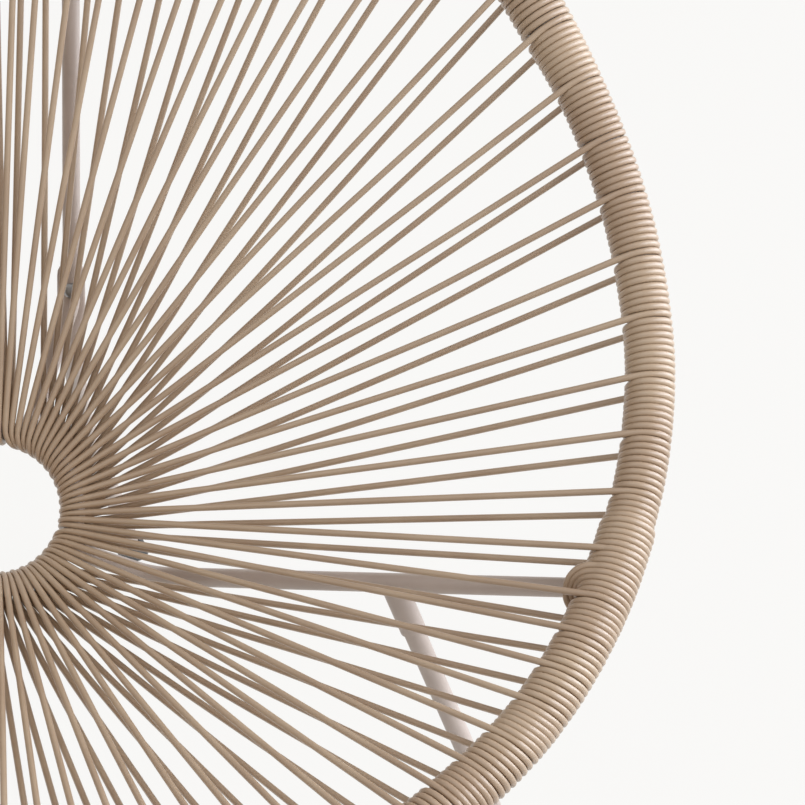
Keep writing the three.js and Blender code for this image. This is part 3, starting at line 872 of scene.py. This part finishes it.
# Beside each rail a few turns arch over the weld, one inside another.
arches = {
    "turn": 194.6,  # the middle of the arches
    "turns": 3.4,  # how many turns behind it arch
    "rise": 0.72,  # height of an arch over its half width
    "soft": (0.1, 0.94),  # shares of those turns between which the arches are whole
    "top": 75,  # where they begin, in degrees round the rim from its inner side towards its front
    "landing": -50,  # where they have come down on the other side of their middle
    "back": -140,  # and where they are back in their own places
    "finer": 2,  # times that the points of these turns are doubled
}
# turns from the top of the back, clockwise seen from the front, where each loop leaves the rim
leaveTurns = [
    5.49, 10.87, 18.78, 26.58, 36.65, 45.6, 55.1, 62.7, 71.36, 80.35, 89.29, 98.14, 106.69,
    115.63, 124.91, 133.11, 142.33, 151.55, 160.67, 169.59, 179.0, 188.67, 196.52, 202.58,
    209.08, 215.54, 222.19, 228.57, 234.36, 239.96, 245.83, 252.79, 259.27, 265.49, 272.43,
    278.88, 285.56, 292.36, 299.15,
]
leaveTurns += [rim["turns"] - t + cord["halfTurns"] for t in reversed(leaveTurns)]
loopCount = len(leaveTurns)
chance = np.random.default_rng(cord["seed"])
turnSway = chance.uniform(-cord["sway"], cord["sway"], cord["chances"])
turnLift = chance.uniform(0, cord["lift"], cord["chances"])

rimRods = [
    (strut["rimPlace"], strutLine),
    (rail["rimTurn"] * pitch, railLine),
    (rimLength - rail["rimTurn"] * pitch, railLine * flip),
    (rimLength - strut["rimPlace"], strutLine * flip),
]
ringRods = [math.radians(a) for a in (strut["ringAngle"], rail["ringAngle"])]
ringRods += [2 * math.pi - a for a in reversed(ringRods)]


# From the middle of the tube to the middle of the cord wound on it.
def woundRadius(place):
    turns, amounts = zip(*prouder)
    turn = np.asarray(place, float) / pitch % rim["turns"]
    proud = np.interp(np.minimum(turn, rim["turns"] - turn), turns, amounts)
    return tubeRadius(place) + cord["overTube"] + cord["wound"][1] + proud


# A place on the rim, moved aside where a rod leaves the rim.
def besideRods(place):
    for at, line in rimRods:
        if abs(place - at) < cord["aside"]:
            return at + (-cord["aside"] if place < at else cord["aside"])
    return place


# An angle round the ring, moved so that the loops share what the rods leave free of it.
def betweenRods(angle):
    aside = cord["aside"] / ring["radius"]
    turns = math.floor(angle / (2 * math.pi))
    free = 1 - len(ringRods) * aside / math.pi
    at = (angle - turns * 2 * math.pi) * free
    for near in ringRods:
        if at > near - aside:
            at += 2 * aside
    return at + turns * 2 * math.pi


# The angle round the rim, and below round the ring's rod, where a strand to a target touches.
def rimTouch(place, target, side):
    centre, _, inward, front = rimFrame(place)
    away = target - centre
    x, y = np.dot(away, inward), np.dot(away, front)
    return math.atan2(y, x) + side * math.acos(float(woundRadius(place)) / math.hypot(x, y))


def ringTouch(angle, target, radius, side):
    away = target - ringPoint(angle)
    x, y = np.dot(away, ringOut(angle)), np.dot(away, ringFace)
    return math.atan2(y, x) + side * math.acos(radius / math.hypot(x, y))


def onTube(place, angle, lift=0.0):
    centre, _, inward, front = rimFrame(place)
    radius = (woundRadius(place) + lift)[..., None]
    return centre + radius * (np.cos(angle)[..., None] * inward + np.sin(angle)[..., None] * front)


def onRing(angle, turn, radius):
    return (ringPoint(angle) + radius * (np.cos(turn)[..., None] * ringOut(angle)
                                         + np.sin(turn)[..., None] * ringFace))


def leanOf(place, angle):
    turns, amounts = zip(*leans)
    return np.interp(place / pitch % rim["turns"], turns, amounts, 0, 0) * pitch * (1 - np.sin(angle)) / 2


# How far the arching turns move along the rim, and how far they rise.
def archOver(place, angle):
    turn = place / pitch % rim["turns"]
    side = np.where(turn < rim["turns"] / 2, 1, -1)
    across = (arches["turn"] - np.minimum(turn, rim["turns"] - turn)) * pitch
    width = arches["turns"] * pitch
    begun, ending = arches["soft"]
    radius = np.where((across > 0) & (across < width), across, 0)
    whole = smoothStep(radius, 0, begun * width) * (1 - smoothStep(radius, ending * width, width))
    radius = radius * whole
    degrees = np.degrees((angle + math.pi) % (2 * math.pi) - math.pi)
    over = math.pi * smoothStep(degrees, arches["top"], arches["landing"])
    moved = radius * (1 - np.cos(over)) * (1 - smoothStep(degrees, arches["landing"], arches["back"]))
    return moved * side, radius * arches["rise"] * np.sin(over)


# How far the turns part for the rods that leave the rim at its rear, and ride up beside them.
def partForRods(place, angle, advance):
    shift, lift = np.zeros_like(place), np.zeros_like(place)
    for at, line in rimRods:
        _, _, inward, front = rimFrame(at)
        leaving = unit(line[1] - line[0])
        rodAngle = math.atan2(np.dot(leaving, front), np.dot(leaving, inward))
        off = (angle - rodAngle + math.pi) % (2 * math.pi) - math.pi
        whole = place + off * advance - at  # where this turn would pass the rod
        away = (rimLength / 2 + whole) % rimLength - rimLength / 2
        reach = (tubeRadius(place) + cord["overTube"] + cord["wound"][1]) * np.sin(off)
        need = np.sqrt(np.clip(cord["aside"] ** 2 - reach**2, 0, None))
        need = np.where(np.abs(off) < math.pi / 2, need, 0)
        room = np.clip(1 - np.abs(away) / cord["spread"], 0, 1)
        shift += np.sign(away) * need * room
        odd = 0.5 - 0.5 * np.cos(np.pi * np.round(away / pitch))
        lift += cord["oddLift"] * odd * room * need / cord["aside"]
    return shift, lift


# Turns of cord between two places on the rim, the way along the rim at each point, and the number
# of turns so far. Over half a turn at each end, they ease into their random sway and lift.
def windTurns(start, startAngle, end, endAngle, firstTurn):
    count = int(round((startAngle - endAngle) / (2 * math.pi) * cord["turnPoints"]))
    share = np.linspace(0, 1, count + 1)
    for again in range(arches["finer"]):
        turn = (start + (end - start) * share) / pitch % rim["turns"]
        fromArch = np.abs(np.minimum(turn, rim["turns"] - turn) - arches["turn"])
        arched = fromArch < arches["turns"] + 1
        between = (share[:-1] + share[1:])[arched[:-1]] / 2
        share = np.sort(np.concatenate([share, between]))
    place = start + (end - start) * share
    angle = startAngle + (endAngle - startAngle) * share
    number = firstTurn + (startAngle - angle) / (2 * math.pi)
    ease = np.clip(np.minimum(share, 1 - share) * count / cord["turnPoints"] * 2, 0, 1)
    numbers = np.arange(cord["chances"])
    sway = np.interp(number % (cord["chances"] - 1), numbers, turnSway) * ease
    lift = np.interp(number % (cord["chances"] - 1), numbers, turnLift) * ease
    shift, ridden = partForRods(place, angle, (end - start) / (startAngle - endAngle))
    moved, raised = archOver(place, angle)
    place = place + leanOf(place, angle) + shift + sway + moved
    return onTube(place, angle, lift + ridden + raised), rimFrame(place)[1], number[-1]


def strandPoints(start, end):
    length = np.linalg.norm(end - start)
    marks = [*strand["marks"], length * strand["lastMark"]]
    marks += [length - mark for mark in reversed(marks)]
    return start + (end - start) * (np.array(marks) / length)[:, None]


# Where a loop touches the rim and the ring with its front strand and its rear one: its places
# there, and the angles round each, which depend on one another and so are found in turn.
def loopTouches(k, turns):
    step = 2 * math.pi / loopCount
    frontPlace = turns * pitch
    rearPlace = besideRods((turns + cord["rearTurns"]) * pitch)
    frontRing = (k + 0.5) * step
    rearRing = betweenRods(frontRing + cord["ringLoops"] * step)
    radius = ring["rodRadius"] + cord["overRing"] + cord["ringed"][1] + (k % 2) * cord["ringLayer"]
    frontAngle, rearAngle = cord["firstGuess"], -cord["firstGuess"]
    frontTurn = ringTouch(frontRing, onRim(frontPlace), radius, 1)
    rearTurn = ringTouch(rearRing, onRim(rearPlace), radius, -1)
    for again in range(cord["searches"]):
        front = frontPlace + leanOf(frontPlace, frontAngle)
        rear = rearPlace + leanOf(rearPlace, rearAngle)
        frontAngle = rimTouch(front, onRing(np.array(frontRing), np.array(frontTurn), radius), 1)
        rearAngle = rimTouch(rear, onRing(np.array(rearRing), np.array(rearTurn), radius), -1)
        frontTurn = ringTouch(frontRing, onTube(np.array(front), np.array(frontAngle)), radius, 1)
        rearTurn = ringTouch(rearRing, onTube(np.array(rear), np.array(rearAngle)), radius, -1)
    return {
        "frontPlace": frontPlace, "rearPlace": rearPlace, "frontAngle": frontAngle,
        "rearAngle": rearAngle, "frontRing": frontRing, "rearRing": rearRing,
        "frontTurn": frontTurn, "rearTurn": rearTurn, "radius": radius,
    }


# A loop's way round the ring's rod: its points, and the way along the ring at each.
def goRound(loop):
    share = np.linspace(0, 1, cord["ringPoints"] + 1)
    moved = cord["ringEven"] * share + (1 - cord["ringEven"]) * smoothStep(share, 0, 1)
    angles = loop["frontRing"] + (loop["rearRing"] - loop["frontRing"]) * moved
    turns = loop["frontTurn"] + (loop["rearTurn"] + 2 * math.pi - loop["frontTurn"]) * share
    return onRing(angles, turns, loop["radius"]), ringOut(angles + math.pi / 2)


# The route of the whole cord, and beside each point the way across it that lies along the rim or
# the ring, and its section there: half width, half thickness and squareness.
def cordRoute():
    loops = [loopTouches(k, turns) for k, turns in enumerate(leaveTurns)]
    free = (cord["radius"], cord["radius"], 2)
    twist = [*strand["twist"], *(1 - done for done in reversed(strand["twist"]))]
    route, sideways, sections, joints = [], [], [], []

    def addStretch(points, sides, section):
        joints.append(len(route))
        route.extend(points)
        sideways.extend(sides)
        sections.extend([section] * len(points))
        joints.append(len(route) - 1)

    def addStrand(end, endSide, startSection, endSection):
        startSide = sideways[-1]
        for point, done in zip(strandPoints(route[-1], end), twist):
            route.append(point)
            sideways.append(startSide * (1 - done) + endSide * done)
        for section, shares in ((startSection, strand["roundness"]), (endSection, strand["roundness"][::-1])):
            for share in shares:
                sections.append(tuple(n + (f - n) * share for n, f in zip(section, free)))

    turnNumber = 0.0
    for k, loop in enumerate(loops):
        before = loops[k - 1]
        start = before["rearPlace"] - (rimLength if k == 0 else 0)
        whole = round((loop["frontPlace"] - start) / pitch - cord["partTurn"])
        endAngle = loop["frontAngle"] - 2 * math.pi * (whole + 1)
        wound, sides, turnNumber = windTurns(start, before["rearAngle"], loop["frontPlace"], endAngle,
                                             turnNumber)
        if route:
            addStrand(wound[0], sides[0], cord["ringed"], cord["wound"])
        addStretch(wound, sides, cord["wound"])
        around, sides = goRound(loop)
        addStrand(around[0], sides[0], cord["wound"], cord["ringed"])
        addStretch(around, sides, cord["ringed"])
    addStrand(route[0], sideways[0], cord["ringed"], cord["wound"])
    route = np.array(route)
    near = np.zeros(len(route), bool)
    for joint in joints:
        reach = np.arange(-cord["softReach"], cord["softReach"] + 1)
        near[(joint + reach) % len(route)] = True
    for again in range(cord["softRounds"]):  # softens the corners where a strand meets a turn
        eased = (np.roll(route, 1, 0) + 2 * route + np.roll(route, -1, 0)) / 4
        route[near] = eased[near]
    return route, np.array(sideways), np.array(sections)


def makeCord():
    route, sideways, sections = cordRoute()
    along = unit(np.roll(route, -1, 0) - np.roll(route, 1, 0))
    across = unit(sideways - np.sum(sideways * along, -1, keepdims=True) * along)
    up = np.cross(along, across)
    sides = cord["sides"]
    t = 2 * math.pi * (np.arange(sides) + 0.5) / sides
    power = 2 / sections[:, 2:3]
    x = np.sign(np.cos(t)) * np.abs(np.cos(t)) ** power * sections[:, 0:1]
    y = np.sign(np.sin(t)) * np.abs(np.sin(t)) ** power * sections[:, 1:2]
    rings = route[:, None] + x[..., None] * across[:, None] + y[..., None] * up[:, None]
    points, faces = loft(rings, True)
    piece = makePiece("seatCord", points, faces, cordMaterial,
                      ["seat_cord_%02d" % (i + 1) for i in range(cord["sectors"])])
    # the finish runs along the cord: U in metres along it, V once round it
    run = np.concatenate([[0], np.cumsum(np.linalg.norm(np.roll(route, -1, 0) - route, axis=1))])
    layer = piece.data.uv_layers.new(name="alongCord")
    i = np.repeat(np.arange(len(route)), sides)
    j = np.tile(np.arange(sides), len(route))
    u = np.stack([run[i], run[i], run[i + 1], run[i + 1]], -1) / metre
    v = np.stack([j, j + 1, j + 1, j], -1) / sides
    layer.data.foreach_set("uv", np.stack([u, v], -1).ravel())
    print("cord made,", len(route), "points,", round(run[-1] / metre, 1), "m long")


makeCord()

# Floor, world and lamps: plain, pale and soft.
studio = {
    "floor": "#FBFAF8",
    "floorMatt": "#D4D2CE",
    "floorShown": 0.92,  # how much of the floor is its own pale colour, over the object's shadow
    "floorSize": 16,  # metres
    "world": 0.56,
    "lampColour": (0.92, 1.0, 1.14),  # a little cooler than the world
    "aim": (0, 0, 0.45),
    "lamps": {  # watts, and metres
        "key": {"power": 60, "place": (2.4, -1.0, 2.6), "size": 2.2},
        "edge": {"power": 56, "place": (2.6, 0.6, 1.1), "size": 2.2},
        "fill": {"power": 10, "place": (-1.2, -0.6, 3.2), "size": 2.0},
    },
}


# Rays that see the pale background as it is: the camera's, and those of gloss and glass.
def seenRays(tree):
    path = addNode(tree, "ShaderNodeLightPath")
    total = path.outputs["Is Camera Ray"]
    for kind in ("Is Glossy Ray", "Is Transmission Ray"):
        node = addNode(tree, "ShaderNodeMath", {"operation": "MAXIMUM"}, {0: total, 1: path.outputs[kind]})
        total = node.outputs["Value"]
    return total


def makeFloor():
    material, tree = newMaterial("pale_floor")
    share = addNode(tree, "ShaderNodeMath", {"operation": "MULTIPLY", 1: studio["floorShown"]},
                    {0: seenRays(tree)})
    matt = addNode(tree, "ShaderNodeBsdfDiffuse", {"Color": linear(studio["floorMatt"])})
    shown = addNode(tree, "ShaderNodeEmission", {"Color": linear(studio["floor"]), "Strength": 1.0})
    mixed = addNode(tree, "ShaderNodeMixShader", None,
                    {"Fac": share.outputs["Value"], 1: matt.outputs["BSDF"], 2: shown.outputs["Emission"]})
    addNode(tree, "ShaderNodeOutputMaterial", None, {"Surface": mixed.outputs["Shader"]})
    half = studio["floorSize"] / 2
    corners = [(-half, -half, 0), (half, -half, 0), (half, half, 0), (-half, half, 0)]
    mesh = bpy.data.meshes.new("floor")
    mesh.from_pydata(corners, [], [(0, 1, 2, 3)])
    mesh.materials.append(material)
    floor = bpy.data.objects.new("floor", mesh)
    bpy.context.collection.objects.link(floor)


def makeWorld():
    world = bpy.data.worlds.new("studio")
    bpy.context.scene.world = world
    world.use_nodes = True
    tree = world.node_tree
    tree.nodes.clear()
    lit = addNode(tree, "ShaderNodeBackground", {"Color": (1, 1, 1, 1), "Strength": studio["world"]})
    shown = addNode(tree, "ShaderNodeBackground", {"Color": linear(studio["floor"]), "Strength": 1.0})
    mixed = addNode(tree, "ShaderNodeMixShader", None,
                    {"Fac": seenRays(tree), 1: lit.outputs["Background"], 2: shown.outputs["Background"]})
    addNode(tree, "ShaderNodeOutputWorld", None, {"Surface": mixed.outputs["Shader"]})


def makeLamps():
    for name, lamp in studio["lamps"].items():
        data = bpy.data.lights.new(name, "AREA")
        data.shape = "DISK"
        data.size = lamp["size"]
        data.energy = lamp["power"]
        data.color = studio["lampColour"]
        made = bpy.data.objects.new(name, data)
        made.location = lamp["place"]
        aim = Vector(studio["aim"]) - made.location
        made.rotation_euler = aim.to_track_quat("-Z", "Y").to_euler()
        bpy.context.collection.objects.link(made)


makeFloor()
makeWorld()
makeLamps()
bpy.context.scene.view_settings.view_transform = "Standard"
print("studio lit")
